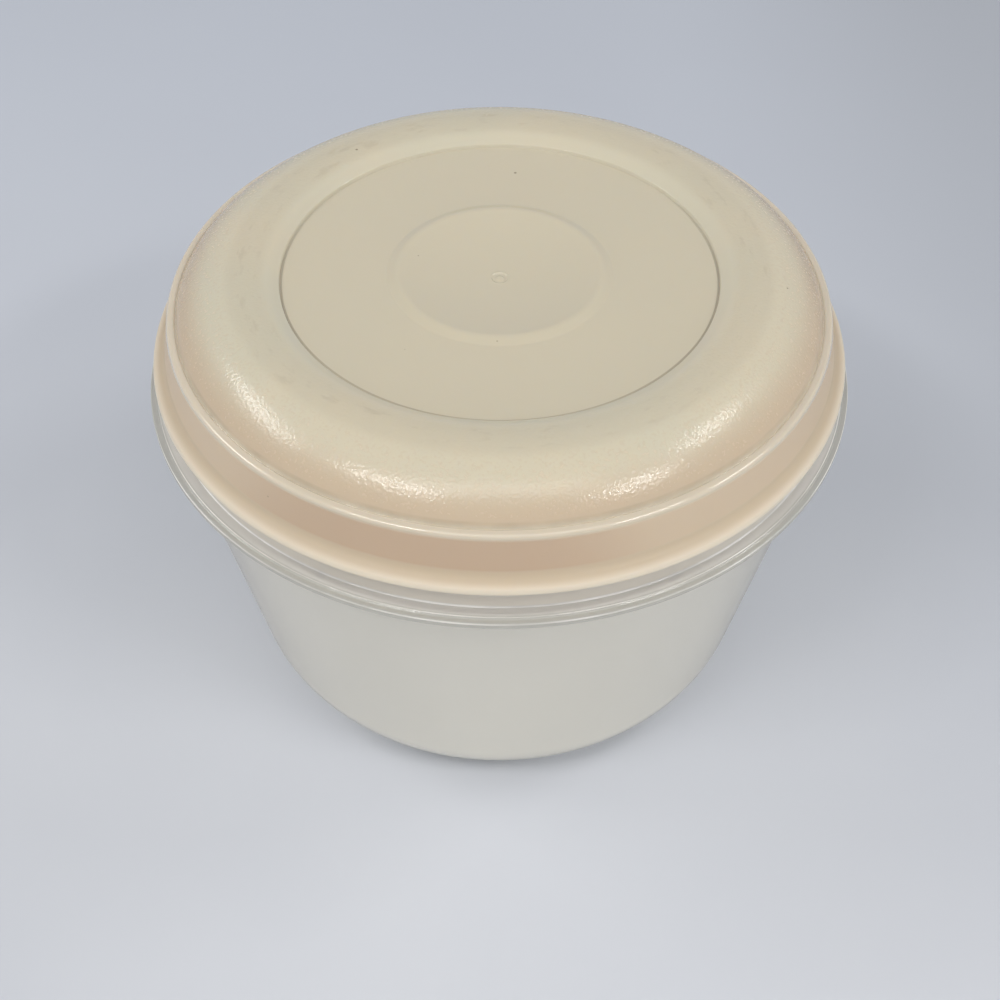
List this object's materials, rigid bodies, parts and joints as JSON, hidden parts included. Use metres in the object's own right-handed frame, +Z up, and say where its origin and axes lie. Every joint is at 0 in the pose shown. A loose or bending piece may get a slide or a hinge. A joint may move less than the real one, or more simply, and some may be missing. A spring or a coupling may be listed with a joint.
{
  "type": "round food storage container",
  "caption": "Round, see-through tapered tub with a stepped rim and a flexible, domed press-on lid that lifts off.",
  "frame": {"origin": "middle of the foot ring, on the surface that the container stands on", "axes": "+Z up, along the axis that both pieces are turned about; X and Y are any two horizontal directions"},
  "size_m": [0.154, 0.154, 0.1082],
  "materials": {
    "clear_plastic": "milky see-through polypropylene, smooth and glossy, with fine wear",
    "lid_plastic": "soft cream polyethylene: fine grain on the rounded ring, satin panel, polished ledge, skirt and bead"
  },
  "bodies": {
    "tub": {"tub": "clear_plastic"},
    "lid": {"lid": "lid_plastic"}
  },
  "joints": [
    {"name": "lid_lift", "type": "slide", "parent": "tub", "child": "lid", "axis": [0, 0, 1], "range_m": [0, 0.15]}
  ]
}
